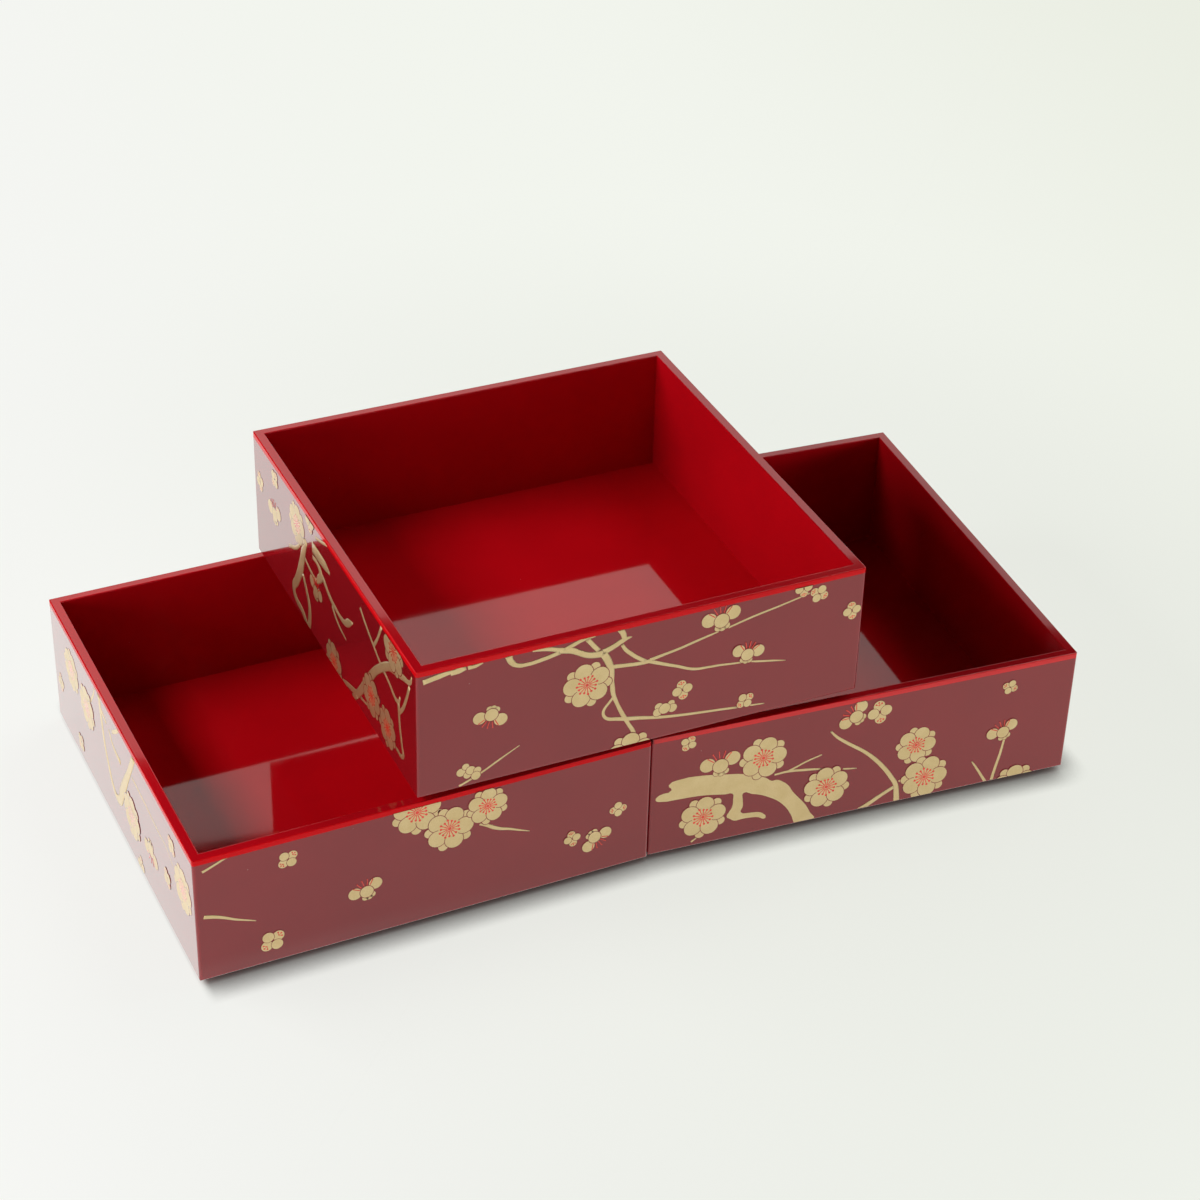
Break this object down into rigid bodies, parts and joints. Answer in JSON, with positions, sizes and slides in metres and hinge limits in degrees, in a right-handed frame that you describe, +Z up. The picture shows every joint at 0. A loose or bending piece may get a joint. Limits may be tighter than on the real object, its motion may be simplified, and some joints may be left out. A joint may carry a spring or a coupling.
{
  "type": "stacking lacquered food box",
  "caption": "Stacking lacquered food box laid out open: square tiers of mitred boards with let-in floor panels and recessed feet that nest in the rim below, the upper tier set across the rest.",
  "frame": {"origin": "middle of the footprint of the tiers as laid out, on the table top under the feet", "axes": "+X along the row of tiers to the right, +Y to the back, +Z up"},
  "size_m": [0.4056, 0.2102, 0.126],
  "materials": {
    "side_board": "polished burgundy lacquer outside, bright red lacquer on the rim and inside",
    "floor_panel": "polished bright red lacquer on top, dark lacquer below",
    "foot_rail": "polished dark lacquer",
    "bare_spline": "bare planed cypress, sealed inside the mitre"
  },
  "bodies": {
    "left_tier": {"left_tier_front_board": "side_board", "left_tier_right_board": "side_board", "left_tier_back_board": "side_board", "left_tier_left_board": "side_board", "left_tier_front_left_spline": "bare_spline", "left_tier_front_right_spline": "bare_spline", "left_tier_back_right_spline": "bare_spline", "left_tier_back_left_spline": "bare_spline", "left_tier_floor_panel": "floor_panel", "left_tier_front_foot_rail": "foot_rail", "left_tier_right_foot_rail": "foot_rail", "left_tier_back_foot_rail": "foot_rail", "left_tier_left_foot_rail": "foot_rail"},
    "right_tier": {"right_tier_front_board": "side_board", "right_tier_right_board": "side_board", "right_tier_back_board": "side_board", "right_tier_left_board": "side_board", "right_tier_front_left_spline": "bare_spline", "right_tier_front_right_spline": "bare_spline", "right_tier_back_right_spline": "bare_spline", "right_tier_back_left_spline": "bare_spline", "right_tier_floor_panel": "floor_panel", "right_tier_front_foot_rail": "foot_rail", "right_tier_right_foot_rail": "foot_rail", "right_tier_back_foot_rail": "foot_rail", "right_tier_left_foot_rail": "foot_rail"},
    "upper_tier": {"upper_tier_front_board": "side_board", "upper_tier_right_board": "side_board", "upper_tier_back_board": "side_board", "upper_tier_left_board": "side_board", "upper_tier_front_left_spline": "bare_spline", "upper_tier_front_right_spline": "bare_spline", "upper_tier_back_right_spline": "bare_spline", "upper_tier_back_left_spline": "bare_spline", "upper_tier_floor_panel": "floor_panel", "upper_tier_front_foot_rail": "foot_rail", "upper_tier_right_foot_rail": "foot_rail", "upper_tier_back_foot_rail": "foot_rail", "upper_tier_left_foot_rail": "foot_rail"}
  },
  "joints": [
    {"name": "right_tier_slide", "type": "slide", "parent": "left_tier", "child": "right_tier", "axis": [0.9966, -0.0819, 0], "range_m": [0, 0.12]},
    {"name": "upper_tier_lift", "type": "slide", "parent": "left_tier", "child": "upper_tier", "axis": [0, 0, 1], "range_m": [0, 0.12]}
  ]
}
